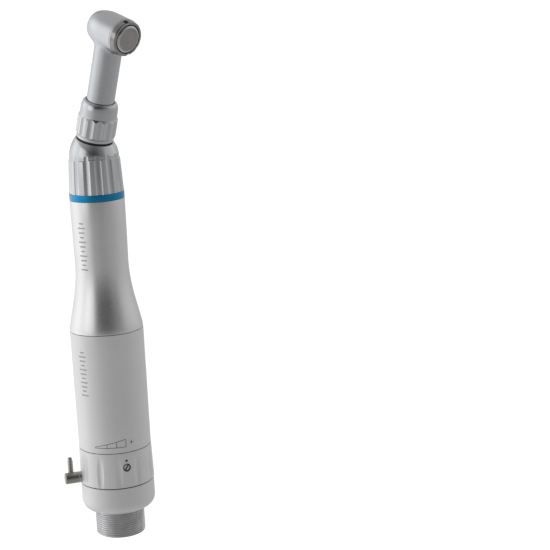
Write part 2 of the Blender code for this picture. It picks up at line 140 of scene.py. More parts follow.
def objectPoint(tree, scale=(1, 1, 1), space=None):
    # Object coordinates in millimetres, turned and centred on an axis when a space is given
    point = addNode(tree, "TexCoord").outputs["Object"]
    if space is not None:
        back = space.inverted()
        turned = addNode(tree, "Mapping", {"Vector": point})
        turned.inputs["Rotation"].default_value = back.to_euler()
        turned.inputs["Location"].default_value = back.translation
        point = turned.outputs[0]
    return addNode(tree, "Mapping", {"Vector": point, "Scale": [k / mm for k in scale]}).outputs[0]


def noise(tree, point, scale, detail=3.0, rough=0.55):
    return addNode(tree, "TexNoise", {"Vector": point, "Scale": scale, "Detail": detail, "Roughness": rough})


def spread(tree, value, low, high, start=0.3, end=0.7):
    return addNode(tree, "MapRange", {
        "Value": value, "From Min": start, "From Max": end, "To Min": low, "To Max": high,
    }).outputs["Result"]


def blendColours(tree, share, first, second):
    mix = addNode(tree, "Mix", {"Factor": share}, data_type="RGBA")
    mix.inputs["A"].default_value = (*first, 1)
    mix.inputs["B"].default_value = (*second, 1)
    return mix.outputs["Result"]


def twoTone(tree, shader, share, first, second):
    tree.links.new(blendColours(tree, share, first, second), shader.inputs["Base Color"])


def raised(tree, shader, height, distance, strength=1.0, under=None):
    bump = addNode(tree, "Bump", {"Height": height, "Distance": distance * mm, "Strength": strength})
    if under is not None:
        tree.links.new(under.outputs[0], bump.inputs["Normal"])
    tree.links.new(bump.outputs[0], shader.inputs["Normal"])
    return bump


def wornEdges(tree, shader, colour, worn, share=0.5):
    # convex edges rub brighter
    edge = addNode(tree, "NewGeometry").outputs["Pointiness"]
    rub = spread(tree, edge, 0.0, share, 0.505, 0.56)
    mix = addNode(tree, "Mix", {"Factor": rub, "A": colour, "B": (*worn, 1)}, data_type="RGBA")
    tree.links.new(mix.outputs["Result"], shader.inputs["Base Color"])


# blasted and anodised: fine grain, faint lathe lines, soft handling marks
def satinMetal(name, s):
    material, tree, shader = newMaterial(name)
    shader.inputs["Metallic"].default_value = s["metallic"]
    point = objectPoint(tree)
    patches = noise(tree, point, 0.11, 4.0).outputs["Fac"]
    colour = blendColours(tree, spread(tree, patches, 0, 1), s["shade"], s["colour"])
    wornEdges(tree, shader, colour, s["worn"])
    grain = noise(tree, point, s["grain"], 2.0, 0.7).outputs["Fac"]
    handled = spread(tree, patches, s["rough"] - 0.035, s["rough"] + 0.035)
    mixed = addNode(tree, "Math", {0: spread(tree, grain, -0.04, 0.04), 1: handled}, operation="ADD")
    tree.links.new(mixed.outputs[0], shader.inputs["Roughness"])
    lines = noise(tree, objectPoint(tree, (0.12, 0.12, 5.0), s.get("space")), 1.0, 2.0).outputs["Fac"]
    turned = raised(tree, shader, lines, 0.004, s["lines"])
    raised(tree, shader, grain, 0.010, s["blast"], turned)
    return material


# lathe-turned or drawn metal: streaks run round the axis of the space given
def turnedMetal(name, s):
    material, tree, shader = newMaterial(name)
    shader.inputs["Metallic"].default_value = 1.0
    around = objectPoint(tree, (0.15, 0.15, 6.0), s.get("space"))
    streaks = noise(tree, around, 1.0, 3.0, 0.6).outputs["Fac"]
    stains = noise(tree, objectPoint(tree), 0.35, 4.0).outputs["Fac"]
    colour = blendColours(tree, spread(tree, stains, 0, 1), s["shade"], s["colour"])
    wornEdges(tree, shader, colour, s["worn"], 0.4)
    tree.links.new(spread(tree, streaks, s["rough"] - 0.05, s["rough"] + 0.07), shader.inputs["Roughness"])
    raised(tree, shader, streaks, 0.004, s.get("lines", 0.5))
    return material


def rubberMaterial(name, s):
    material, tree, shader = newMaterial(name)
    point = objectPoint(tree)
    dust = noise(tree, point, 1.3, 5.0).outputs["Fac"]
    twoTone(tree, shader, spread(tree, dust, 0, 1), s["colour"], s["dust"])
    tree.links.new(spread(tree, dust, 0.42, 0.62), shader.inputs["Roughness"])
    raised(tree, shader, noise(tree, point, 14.0).outputs["Fac"], 0.006, 0.6)
    return material


# woven cloth set in resin
def phenolicMaterial(name, s):
    material, tree, shader = newMaterial(name)
    point = objectPoint(tree)
    threads = {"Vector": point, "Scale": s["weave"], "Distortion": 0.6}
    warp, weft = [addNode(tree, "TexWave", threads, bands_direction=way).outputs["Fac"] for way in "XZ"]
    cloth = addNode(tree, "Math", {0: warp, 1: weft}, operation="MULTIPLY").outputs[0]
    twoTone(tree, shader, cloth, s["shade"], s["colour"])
    shader.inputs["Roughness"].default_value = 0.55
    raised(tree, shader, cloth, 0.02, 0.5)
    return material


def anodisedMaterial(name, s):
    material, tree, shader = newMaterial(name)
    shader.inputs["Metallic"].default_value = 0.85
    shader.inputs["Coat Weight"].default_value = 0.35
    shader.inputs["Coat Roughness"].default_value = 0.12
    streaks = noise(tree, objectPoint(tree, (0.15, 0.15, 8.0)), 1.0, 3.0).outputs["Fac"]
    twoTone(tree, shader, spread(tree, streaks, 0, 1), s["shade"], s["colour"])
    tree.links.new(spread(tree, streaks, 0.20, 0.34), shader.inputs["Roughness"])
    raised(tree, shader, streaks, 0.004, 0.5)
    return material


# oxide or paint in an engraved line; the dark one is also painted shade in seams, the countersink and the
# screw slot
def inlayMaterial(name, s):
    material, tree, shader = newMaterial(name)
    shader.inputs["Metallic"].default_value = s["metallic"]
    speckle = noise(tree, objectPoint(tree), 9.0).outputs["Fac"]
    twoTone(tree, shader, spread(tree, speckle, 0, 1), s["shade"], s["colour"])
    shader.inputs["Roughness"].default_value = 0.6
    raised(tree, shader, speckle, 0.008, 0.5)
    return material


finishes = {
    "motorSatin": {
        "colour": (0.94, 0.94, 0.94), "shade": (0.905, 0.905, 0.91), "worn": (0.97, 0.97, 0.97),
        "metallic": 0.24, "rough": 0.36, "grain": 9.0, "blast": 0.25, "lines": 0.25,
    },
    "shankSatin": {
        "colour": (0.83, 0.83, 0.83), "shade": (0.79, 0.79, 0.795), "worn": (0.92, 0.92, 0.92),
        "metallic": 0.86, "rough": 0.31, "grain": 9.0, "blast": 0.12, "lines": 0.2,
    },
    "greySatin": {
        "colour": (0.58, 0.595, 0.615), "shade": (0.54, 0.555, 0.575), "worn": (0.80, 0.81, 0.82),
        "metallic": 1.0, "rough": 0.28, "grain": 9.0, "blast": 0.12, "lines": 0.15,
    },
    "polished": {
        "colour": (0.62, 0.615, 0.61), "shade": (0.52, 0.515, 0.51), "worn": (0.85, 0.85, 0.85),
        "rough": 0.15, "lines": 0.3,
    },
    "capSteel": {
        "colour": (0.37, 0.365, 0.365), "shade": (0.28, 0.275, 0.275), "worn": (0.95, 0.95, 0.95),
        "rough": 0.14, "lines": 0.2,
    },
    # a brighter copy of the turned steel: painted highlight on the cap's land and the button's chamfer
    "paintedHighlightSteel": {
        "colour": (0.56, 0.555, 0.55), "shade": (0.48, 0.475, 0.47), "worn": (0.95, 0.95, 0.95),
        "rough": 0.2, "lines": 0.2,
    },
    "buttonSteel": {
        "colour": (0.40, 0.38, 0.375), "shade": (0.34, 0.325, 0.32), "worn": (0.60, 0.59, 0.58),
        "rough": 0.25, "lines": 0.3,
    },
    "connector": {
        "colour": (0.66, 0.66, 0.67), "shade": (0.54, 0.54, 0.55), "worn": (0.85, 0.85, 0.85),
        "rough": 0.2, "lines": 0.4,
    },
    "drawnTube": {
        "colour": (0.66, 0.66, 0.66), "shade": (0.55, 0.55, 0.56), "worn": (0.80, 0.80, 0.80),
        "rough": 0.24,
    },
    "nickel": {
        "colour": (0.50, 0.475, 0.45), "shade": (0.34, 0.32, 0.30), "worn": (0.72, 0.69, 0.64),
        "rough": 0.30,
    },
    "brass": {
        "colour": (0.78, 0.58, 0.27), "shade": (0.60, 0.43, 0.19), "worn": (0.92, 0.75, 0.42),
        "rough": 0.28,
    },
    "machined": {
        "colour": (0.60, 0.60, 0.61), "shade": (0.48, 0.48, 0.49), "worn": (0.78, 0.78, 0.78),
        "rough": 0.28,
    },
    "hardened": {
        "colour": (0.30, 0.29, 0.29), "shade": (0.20, 0.195, 0.20), "worn": (0.58, 0.57, 0.56),
        "rough": 0.36,
    },
    "bearing": {
        "colour": (0.72, 0.72, 0.73), "shade": (0.64, 0.64, 0.65), "worn": (0.85, 0.85, 0.85),
        "rough": 0.14, "lines": 0.25,
    },
    "rubber": {"colour": (0.012, 0.012, 0.013), "dust": (0.035, 0.034, 0.033)},
    "phenolic": {"colour": (0.34, 0.19, 0.09), "shade": (0.17, 0.09, 0.04), "weave": 1.6},
    "blue": {"colour": (0.0, 0.30, 0.60), "shade": (0.0, 0.24, 0.50)},
    # dark oxide in the engraved marks and the index dot, and painted shade in seams and recesses
    "darkInlayAndShade": {"colour": (0.16, 0.16, 0.165), "shade": (0.08, 0.08, 0.085), "metallic": 0.2},
    "midInlay": {"colour": (0.58, 0.58, 0.58), "shade": (0.50, 0.50, 0.50), "metallic": 0.4},
}

motorSatin = satinMetal("motor_satin", finishes["motorSatin"])
shankSatin = satinMetal("shank_satin", finishes["shankSatin"])
greySatin = satinMetal("grey_satin", finishes["greySatin"])
neckSatin = satinMetal("neck_satin", dict(finishes["greySatin"], space=neckSpace))
headSteel = turnedMetal("polished_cap_steel", dict(finishes["capSteel"], space=headSpace))
# painted highlight steel for the cap's land and the button's chamfer
paintedHighlightSteel = turnedMetal("painted_highlight_steel", dict(finishes["paintedHighlightSteel"], space=headSpace))
buttonSteel = turnedMetal("button_steel", dict(finishes["buttonSteel"], space=headSpace))
polishedSteel = turnedMetal("polished_steel", finishes["polished"])
connectorSteel = turnedMetal("connector_steel", finishes["connector"])
tubeSteel = turnedMetal("tube_steel", finishes["drawnTube"])
nickel = turnedMetal("nickel_fitting", finishes["nickel"])
blueAnodised = anodisedMaterial("blue_anodised", finishes["blue"])
rubber = rubberMaterial("black_rubber", finishes["rubber"])
darkInlayAndShade = inlayMaterial("dark_inlay_and_painted_shade", finishes["darkInlayAndShade"])
midInlay = inlayMaterial("mid_inlay", finishes["midInlay"])
slotLooks = {
    "satin_aluminium": motorSatin,
    "polished_steel": polishedSteel,
    "connector_steel": connectorSteel,
    "tube_steel": tubeSteel,
    "blue_anodised": blueAnodised,
    "black_rubber": rubber,
    "nickel_fitting": nickel,
    "valve_brass": turnedMetal("valve_brass", finishes["brass"]),
    "phenolic": phenolicMaterial("phenolic_laminate", finishes["phenolic"]),
    "machined_steel": turnedMetal("machined_steel", finishes["machined"]),
    "hardened_steel": turnedMetal("hardened_steel", finishes["hardened"]),
    "bearing_steel": turnedMetal("bearing_steel", finishes["bearing"]),
}
for subpart in frame["record"]["subparts"]:
    node = frame["nodes"][subpart["node"]]
    node.data.materials.clear()
    node.data.materials.append(slotLooks[subpart["material_slot"]])
print("materials made:", len(bpy.data.materials))


# shaping

def softened(outline, points=5):
    # a point (radius, height, reach) has its corner rounded over that reach
    out = []
    for i, corner in enumerate(outline):
        here = Vector(corner[:2])
        if len(corner) == 2:
            out.append(here)
            continue
        before = Vector(outline[i - 1][:2])
        after = Vector(outline[(i + 1) % len(outline)][:2])
        start = here + (before - here).normalized() * corner[2]
        end = here + (after - here).normalized() * corner[2]
        for step in range(points + 1):
            t = step / points
            out.append(start * (1 - t) ** 2 + here * (2 * t * (1 - t)) + end * t ** 2)
    return out


def arcOutline(centre, radius, start, end, points):
    turns = [math.radians(start + (end - start) * i / (points - 1)) for i in range(points)]
    return [(centre[0] + radius * math.cos(a), centre[1] + radius * math.sin(a)) for a in turns]


def spun(outline, steps=160, space=motorSpace):
    # turned round Z; it closes by itself unless it starts on the axis
    bm = bmesh.new()
    verts = [bm.verts.new((point[0] * mm, 0, point[1] * mm)) for point in outline]
    pairs = list(zip(verts, verts[1:]))
    if outline[0][0] > 0:
        pairs.append((verts[-1], verts[0]))
    edges = [bm.edges.new(pair) for pair in pairs]
    bmesh.ops.spin(
        bm, geom=verts + edges, cent=(0, 0, 0), axis=(0, 0, 1),
        angle=math.tau, steps=steps, use_merge=True,
    )
    return settled(bm, space)


def settled(bm, space=motorSpace):
    bmesh.ops.remove_doubles(bm, verts=bm.verts, dist=2e-7)
    bmesh.ops.recalc_face_normals(bm, faces=bm.faces)
    bmesh.ops.transform(bm, matrix=space, verts=bm.verts)
    return bm


def rodsAround(radius, bottom, top, places, space=motorSpace, segments=48, lean=0.0, taper=1.0):
    # upright rods at (distance, angle), leaning in towards the axis as they rise
    bm = bmesh.new()
    for distance, angle in places:
        made = bmesh.ops.create_cone(
            bm, cap_ends=True, segments=segments, radius1=radius * mm,
            radius2=radius * taper * mm, depth=(top - bottom) * mm,
        )["verts"]
        move = Matrix.Rotation(math.radians(angle), 4, "Z") @ Matrix.Translation(
            (distance * mm, 0, (bottom + top) / 2 * mm)) @ Matrix.Rotation(-math.radians(lean), 4, "Y")
        bmesh.ops.transform(bm, matrix=move, verts=made)
    bmesh.ops.transform(bm, matrix=space, verts=bm.verts)
    return bm


def slabs(size, places, space=motorSpace):
    # boxes of (radial, tangential, axial) size at (distance, angle, height)
    bm = bmesh.new()
    for distance, angle, height in places:
        made = bmesh.ops.create_cube(bm, size=1)["verts"]
        bmesh.ops.scale(bm, verts=made, vec=[value * mm for value in size])
        move = Matrix.Rotation(math.radians(angle), 4, "Z") @ Matrix.Translation(
            (distance * mm, 0, height * mm))
        bmesh.ops.transform(bm, matrix=move, verts=made)
    bmesh.ops.transform(bm, matrix=space, verts=bm.verts)
    return bm


def asObject(name, bm, material):
    mesh = bpy.data.meshes.new(name)
    bm.to_mesh(mesh)
    bm.free()
    mesh.materials.append(material)
    made = bpy.data.objects.new(name, mesh)
    bpy.context.scene.collection.objects.link(made)
    return made


def applied(piece):
    # the modifiers' result becomes the mesh
    bpy.context.view_layer.update()
    seen = piece.evaluated_get(bpy.context.evaluated_depsgraph_get())
    mesh = bpy.data.meshes.new_from_object(seen)
    piece.modifiers.clear()
    old = piece.data
    piece.data = mesh
    bpy.data.meshes.remove(old)


def carve(piece, *tools, operation="DIFFERENCE", lining=None):
    # lining is the finish of the cut faces
    cutters = []
    for bm in tools:
        cutter = asObject("cutter", bm, lining or piece.data.materials[0])
        change = piece.modifiers.new("carve", "BOOLEAN")
        change.operation = operation
        change.solver = "EXACT"
        change.material_mode = "TRANSFER"
        change.object = cutter
        cutters.append(cutter)
    applied(piece)
    for cutter in cutters:
        mesh = cutter.data
        bpy.data.objects.remove(cutter)
        bpy.data.meshes.remove(mesh)


def fit(piece, node, angle=30):
    # the finished piece stands for its CAD node and moves with that node's body
    bm = bmesh.new()
    bm.from_mesh(piece.data)
    bmesh.ops.dissolve_degenerate(bm, edges=bm.edges, dist=1e-7)
    bm.to_mesh(piece.data)
    bm.free()
    piece.data.shade_smooth()
    piece.data.set_sharp_from_angle(angle=math.radians(angle))
    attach(piece, frame["nodes"][node]["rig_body"])
    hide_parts(node)


# rear end: threaded hose connector with its four tubes, and the cap

connectorSetup = {
    "crest": 6.8, "root": 6.42, "pitch": 0.635, "stem": 5.6, "stemTop": 14.0, "bossTop": 7.05,
    "chamfer": 0.16, "threadFrom": -0.4, "threadTo": 7.6,
    "gap": 0.2, "tubeWall": 0.32, "tubeFoot": 0.6, "tubeTop": 14.1,
    # radius, distance and angle
    "tubes": {
        "exhaust_tube": (1.45, 3.75, 90),
        "drive_air_tube": (1.2, 3.75, -90),
        "water_tube": (0.85, 3.9, 0),
        "chip_air_tube": (0.85, 3.9, 180),
    },
}


def threadedRod(crest, root, pitch, bottom, top, steps=112):
    # one pitch of the thread's flank climbs as it turns, then two planes cut its ends square
    bm = bmesh.new()
    flank = [(root, 0.0), (root, 0.06), (crest, 0.42), (crest, 0.58), (root, 0.94), (root, 1.0)]
    start = bottom - 2 * pitch
    verts = [bm.verts.new((r * mm, 0, (start + share * pitch) * mm)) for r, share in flank]
    edges = [bm.edges.new(pair) for pair in zip(verts, verts[1:])]
    turns = math.ceil((top - bottom) / pitch) + 4
    bmesh.ops.spin(
        bm, geom=verts + edges, cent=(0, 0, 0), axis=(0, 0, 1), angle=math.tau * turns,
        steps=steps * turns, dvec=(0, 0, pitch / steps * mm),
    )
    bmesh.ops.remove_doubles(bm, verts=bm.verts, dist=1e-6)
    for height, up in ((bottom, False), (top, True)):
        bmesh.ops.bisect_plane(
            bm, geom=[*bm.verts, *bm.edges, *bm.faces], plane_co=(0, 0, height * mm),
            plane_no=(0, 0, 1), clear_outer=up, clear_inner=not up,
        )
    openEdges = [edge for edge in bm.edges if edge.is_boundary]
    bmesh.ops.holes_fill(bm, edges=openEdges, sides=0)
    bmesh.ops.recalc_face_normals(bm, faces=bm.faces)
    return bm


def makeConnector(s):
    rod = threadedRod(s["crest"], s["root"], s["pitch"], s["threadFrom"], s["threadTo"])
    piece = asObject("threaded_hose_connector", rod, connectorSteel)
    envelope = [
        (0, s["bossTop"]), (s["crest"], s["bossTop"]), (s["crest"], 0.2),
        (s["crest"] - s["chamfer"], 0.0, 0.08), (0, 0),
    ]
    carve(piece, spun(softened(envelope), 112), operation="INTERSECT")
    foot = s["bossTop"] - 0.6
    stem = [(0, s["stemTop"]), (s["stem"], s["stemTop"]), (s["stem"], foot), (0, foot)]
    carve(piece, spun(stem, 96), operation="UNION")
    for radius, distance, angle in s["tubes"].values():
        carve(piece, rodsAround(radius + s["gap"], -1, 16, [(distance, angle)]))
        carve(piece, rodsAround(radius + s["gap"] + 0.25, -0.3, 0.12, [(distance, angle)], taper=0.9))
    fit(piece, "hose_connector", 25)


def makeTube(node, s):
    radius, distance, angle = s["tubes"][node]
    bore, foot, top = radius - s["tubeWall"], s["tubeFoot"], s["tubeTop"]
    outline = [(radius, top), (radius, foot, 0.12), (bore, foot, 0.12), (bore, top)]
    pipe = spun(softened(outline), 56, spaceUp(distance, angle))
    fit(asObject(node.replace("_tube", "_pipe"), pipe, tubeSteel), node)


def paintSeamShade(piece, height, radius):
    # paints shade on the flat wall inside a seam: these faces take the dark inlay finish where shade falls
    piece.data.materials.append(darkInlayAndShade)
    for face in piece.data.polygons:
        middle = face.center / mm
        level = abs(face.normal.z) > 0.9 and abs(middle.z - height) < 0.05
        if level and math.hypot(middle.x, middle.y) < radius:
            face.material_index = len(piece.data.materials) - 1


capSetup = {"radius": 10.15, "top": 15.24, "bottom": 7.3, "shoulder": 3.0, "edge": 0.12, "lip": 7.2}


def makeRearCap(s):
    centre = (s["radius"] - s["shoulder"], s["bottom"] + s["shoulder"])
    curve = arcOutline(centre, s["shoulder"], 0, -82, 22)
    outline = [
        (s["radius"] - 0.02, s["top"], s["edge"]), *curve, (s["lip"], s["bottom"], 0.1),
        (6.0, s["bottom"]), (6.0, 9.4), (8.0, 9.4), (8.9, 10.4), (8.9, s["top"]),
    ]
    piece = asObject("rear_cap_shell", spun(softened(outline), 176), motorSatin)
    # painted shade on the seam wall at the cap's top face
    paintSeamShade(piece, s["top"], s["radius"] - 0.1)
    fit(piece, "rear_cap")


makeConnector(connectorSetup)
for tubeNode in connectorSetup["tubes"]:
    makeTube(tubeNode, connectorSetup)
makeRearCap(capSetup)
print("rear end made")


# speed and direction selector: scalloped ring, index, screw and water elbow

selectorSetup = {
    "bottom": 15.5, "top": 25.33, "bottomR": 10.25, "topR": 9.97, "bore": 8.3, "edge": 0.1,
    "scallops": 12, "scallopStart": 22.9, "scallopSize": (2.35, 2.35, 9.36), "scallopDepth": 0.25,
    "screwAngle": -24.3, "screwHeight": 21.2, "screwHole": 0.98,
    "indexHeight": 23.15, "indexR": 0.36, "indexFloor": 9.86,
    "elbowAngle": -120.1, "elbowHeight": 17.1, "elbowHole": 1.59, "drillFrom": 7.5, "drillTo": 12,
}


def makeSelector(s):
    outline = [
        (s["topR"], s["top"], s["edge"]), (s["bottomR"], s["bottom"], s["edge"]),
        (s["bore"], s["bottom"]), (s["bore"], s["top"]),
    ]
    ring = asObject("selector_sleeve", spun(softened(outline), 216), motorSatin)
    # painted shade on the seam walls at the sleeve's bottom and top faces
    paintSeamShade(ring, s["bottom"], s["bottomR"] - 0.08)
    paintSeamShade(ring, s["top"], s["topR"] - 0.08)
    middle = (s["bottom"] + s["top"]) / 2
    reach = (s["bottomR"] + s["topR"]) / 2 + s["scallopSize"][0] - s["scallopDepth"]
    tools = bmesh.new()
    for i in range(s["scallops"]):
        made = bmesh.ops.create_uvsphere(tools, u_segments=64, v_segments=48, radius=mm)["verts"]
        turn = Matrix.Rotation(math.radians(s["scallopStart"] + 360 * i / s["scallops"]), 4, "Z")
        place = Matrix.Translation((reach * mm, 0, middle * mm))
        bmesh.ops.transform(tools, matrix=turn @ place @ Matrix.Diagonal((*s["scallopSize"], 1)), verts=made)
    carve(ring, tools)
    screwSpace = spaceOut(s["screwAngle"], s["screwHeight"])
    carve(ring, rodsAround(s["screwHole"], s["drillFrom"], s["drillTo"], [(0, 0)], screwSpace))
    # the countersink's dark lining is painted shade round the screw head
    countersink = rodsAround(s["screwHole"] + 0.02, 9.75, 10.6, [(0, 0)], screwSpace, taper=1.35)
    carve(ring, countersink, lining=darkInlayAndShade)
    elbowSpace = spaceOut(s["elbowAngle"], s["elbowHeight"])
    carve(ring, rodsAround(s["elbowHole"], s["drillFrom"], s["drillTo"], [(0, 0)], elbowSpace))
    dot = spaceOut(s["screwAngle"], s["indexHeight"])
    carve(ring, rodsAround(s["indexR"], s["indexFloor"], 11, [(0, 0)], dot, 32), lining=darkInlayAndShade)
    fit(ring, "selector_ring")


screwSetup = {
    "top": 9.86, "headR": 0.84, "headFoot": 8.7, "shaftR": 0.6, "tip": 5.6,
    "slot": (0.36, 2.6, 0.5), "slotTurn": 55,
}


def makeScrew(s, selector):
    space = spaceOut(selector["screwAngle"], selector["screwHeight"])
    outline = [
        (0, s["top"]), (s["headR"], s["top"], 0.12), (s["headR"], s["headFoot"]),
        (s["shaftR"], s["headFoot"]), (s["shaftR"], s["tip"]), (0, s["tip"]),
    ]
    screw = asObject("slotted_screw", spun(softened(outline), 64, space), polishedSteel)
    across = space @ Matrix.Rotation(math.radians(s["slotTurn"]), 4, "Z")
    # the slot's dark lining is painted shade inside the slot
    carve(screw, slabs(s["slot"], [(0, 0, s["top"])], across), lining=darkInlayAndShade)
    fit(screw, "selector_screw")


elbowSetup = {
    "scoreAt": 10.45, "end": 14.65, "radius": 1.55, "root": 9.4, "nippleFromEnd": 1.7,
    "nippleBore": 0.42, "nippleR": 0.78, "barbs": 5, "barbStart": 1.6, "barbPitch": 0.72, "nippleTop": 5.85,
}


def makeElbow(s, selector):
    space = spaceOut(selector["elbowAngle"], selector["elbowHeight"])
    nippleAt = s["end"] - s["nippleFromEnd"]
    score = s["scoreAt"]
    outline = [
        (0, s["end"]), (s["radius"], s["end"], 0.28), (s["radius"], score + 0.62),
        (s["radius"] - 0.05, score + 0.56), (s["radius"] - 0.05, score + 0.44),
        (s["radius"], score + 0.38), (s["radius"], s["root"]),
        (0.85, s["root"]), (0.85, 8.6), (0, 8.6),
    ]
    elbow = asObject("water_elbow_body", spun(softened(outline), 80, space), nickel)
    carve(elbow, rodsAround(0.4, 8, nippleAt, [(0, 0)], space, 24))
    seat = spaceUp(nippleAt, selector["elbowAngle"], selector["elbowHeight"])
    carve(elbow, rodsAround(s["nippleR"] + 0.04, -0.5, 3, [(0, 0)], seat, 40))
    fit(elbow, "water_elbow")

    radius, bore = s["nippleR"], s["nippleBore"]
    barbs = []
    for i in reversed(range(s["barbs"])):
        low = s["barbStart"] + i * s["barbPitch"]
        barbs += [(radius - 0.16, low + s["barbPitch"] * 0.92), (radius, low + 0.1), (radius - 0.02, low)]
    outline = [
        (radius - 0.2, s["nippleTop"], 0.08), *barbs, (radius, s["barbStart"] - 0.15),
        (radius, -0.2), (bore, -0.2), (bore, s["nippleTop"], 0.06),
    ]
    fit(asObject("barbed_nipple", spun(softened(outline), 48, seat), nickel), "spray_nipple")


makeSelector(selectorSetup)
makeScrew(screwSetup, selectorSetup)
makeElbow(elbowSetup, selectorSetup)
print("selector made")


# motor housing with its engraved speed wedge

housingSetup = {
    "bottom": 25.47, "top": 58.52, "radii": ((25.47, 9.94), (34, 9.96), (45, 10.01), (58.52, 10.04)),
    "bore": 8.8, "edge": 0.09,
    "wedgeStart": -73.1, "wedgeEnd": -23.1, "wedgeFoot": 27.1, "wedgeTall": 2.15, "wedgeThin": 0.3,
    "line": 0.15, "depth": 0.07, "plusAngle": -13.5,
    "barAngle": -85.8, "bars": 11, "barStart": 41.8, "barPitch": 1.2, "barHalf": 7.4, "barWidth": 0.38,
}


def groove(start, end, width, depth, surface):
    # a cutter that follows the round surface from (angle, height) to (angle, height)
    bm = bmesh.new()
    bmesh.ops.create_cube(bm, size=1)
    along = [edge for edge in bm.edges if abs(edge.verts[0].co.x - edge.verts[1].co.x) > 0.5]
    bmesh.ops.subdivide_edges(bm, edges=along, cuts=14)
    (angle0, height0), (angle1, height1) = start, end
    run = math.radians(angle1 - angle0) * surface
    rise = height1 - height0
    length = math.hypot(run, rise)
    for vert in bm.verts:
        share, side, out = vert.co.x + 0.5, vert.co.y * width, vert.co.z
        a = math.radians(angle0) + (run * share - side * rise / length) / surface
        radius = surface - depth + (out + 0.5) * (depth + 0.4)
        z = height0 + rise * share + side * run / length
        vert.co = (radius * math.cos(a) * mm, radius * math.sin(a) * mm, z * mm)
    bmesh.ops.triangulate(bm, faces=bm.faces)
    bmesh.ops.recalc_face_normals(bm, faces=bm.faces)
    return bm


def markBars(piece, s, radiusAt):
    # a plain row of engraved index bars, long and short by turns
    for i in range(s["bars"]):
        height = s["barStart"] + i * s["barPitch"]
        half = s["barHalf"] * (1.0, 0.55, 0.8)[i % 3]
        start, end = (s["barAngle"] - half, height), (s["barAngle"] + half, height)
        carve(piece, groove(start, end, s["barWidth"], 0.05, radiusAt(height)), lining=midInlay)


def makeHousing(s):
    sides = [(r, z) for z, r in reversed(s["radii"][1:-1])]
    outline = [
        (s["radii"][-1][1], s["top"], s["edge"]), *sides, (s["radii"][0][1], s["bottom"], s["edge"]),
        (s["bore"], s["bottom"]), (s["bore"], s["top"]),
    ]
    piece = asObject("motor_barrel", spun(softened(outline), 192), motorSatin)
    # painted shade on the seam wall at the barrel's bottom face
    paintSeamShade(piece, s["bottom"], s["radii"][0][1] - 0.08)
    surface = s["radii"][0][1]
    foot, thin, tall = s["wedgeFoot"], s["wedgeThin"], s["wedgeTall"]
    start, end = s["wedgeStart"], s["wedgeEnd"]
    strokes = [
        ((start, foot), (end, foot)), ((start, foot + thin), (end, foot + tall)),
        ((end, foot - 0.05), (end, foot + tall + 0.05)), ((start, foot - 0.05), (start, foot + thin + 0.05)),
    ]
    for share in (0.4, 0.7):
        at = start + (end - start) * share
        strokes.append(((at, foot), (at, foot + thin + (tall - thin) * share)))
    middle = foot + tall / 2
    plus = s["plusAngle"]
    strokes += [((plus - 3, middle), (plus + 3, middle)), ((plus, middle - 0.55), (plus, middle + 0.55))]
    for first, last in strokes:
        carve(piece, groove(first, last, s["line"], s["depth"], surface), lining=darkInlayAndShade)
    heights, radii = zip(*s["radii"])
    markBars(piece, s, lambda height: float(np.interp(height, heights, radii)))
    fit(piece, "motor_housing")


makeHousing(housingSetup)
print("motor housing made")


# contra-angle sheath: flared shank, blue ring, fluted grip

shankSetup = {
    "bottom": 58.7, "waist": 77.0, "top": 94.52, "waistR": 7.22, "bottomR": 10.02, "bow": 0.72,
    "upper": ((77.0, 7.22), (82.7, 7.30), (88.7, 7.38), (94.52, 7.42)), "edge": 0.08,
    "tip": 104.3, "tipR": 5.2, "ledge": 99.4, "ledgeR": 6.2,
    "socketR": 6.4, "socketEnd": 76.0, "boreR": 4.65, "boreEnd": 98.0, "noseR": 3.65,
    "bars": 11, "barStart": 76.2, "barPitch": 1.26, "barAngle": -81.0, "barHalf": 9.5, "barWidth": 0.38,
}


def smoothStep(share):
    return share * share * (3 - 2 * share)


def shankRadius(height):
    s = shankSetup
    if height >= s["waist"]:
        heights, radii = zip(*s["upper"])
        return float(np.interp(height, heights, radii))
    share = (height - s["bottom"]) / (s["waist"] - s["bottom"])
    return s["waistR"] + (s["bottomR"] - s["waistR"]) * (1 - smoothStep(share ** s["bow"]))


def makeShank(s):
    heights = [s["waist"] + (s["bottom"] - s["waist"]) * i / 48 for i in range(1, 49)]
    flare = [(shankRadius(height), height) for height in heights]
    upper = [(r, z) for z, r in reversed(s["upper"][:-1])]
    tipR, ledgeR, boreR, noseR = s["tipR"], s["ledgeR"], s["boreR"], s["noseR"]
    outline = [
        (tipR, s["tip"]), (tipR, s["ledge"]), (ledgeR, s["ledge"]), (ledgeR, s["top"]),
        (s["upper"][-1][1], s["top"], s["edge"]), *upper, *flare,
        (s["socketR"], s["bottom"]), (s["socketR"], s["socketEnd"]), (boreR, s["socketEnd"]),
        (boreR, s["boreEnd"]), (noseR, s["boreEnd"]), (noseR, s["tip"]),
    ]
    piece = asObject("shank_barrel", spun(softened(outline), 176), shankSatin)
    markBars(piece, s, shankRadius)
    fit(piece, "shank", 24)


blueRingSetup = {"bottom": 94.57, "bottomR": 7.42, "top": 96.34, "topR": 7.44, "bore": 6.45, "edge": 0.1}


def makeBlueRing(s):
    outline = [
        (s["topR"], s["top"], s["edge"]), (s["bottomR"], s["bottom"], s["edge"]),
        (s["bore"], s["bottom"]), (s["bore"], s["top"]),
    ]
    fit(asObject("blue_band", spun(softened(outline), 176), blueAnodised), "blue_ring")


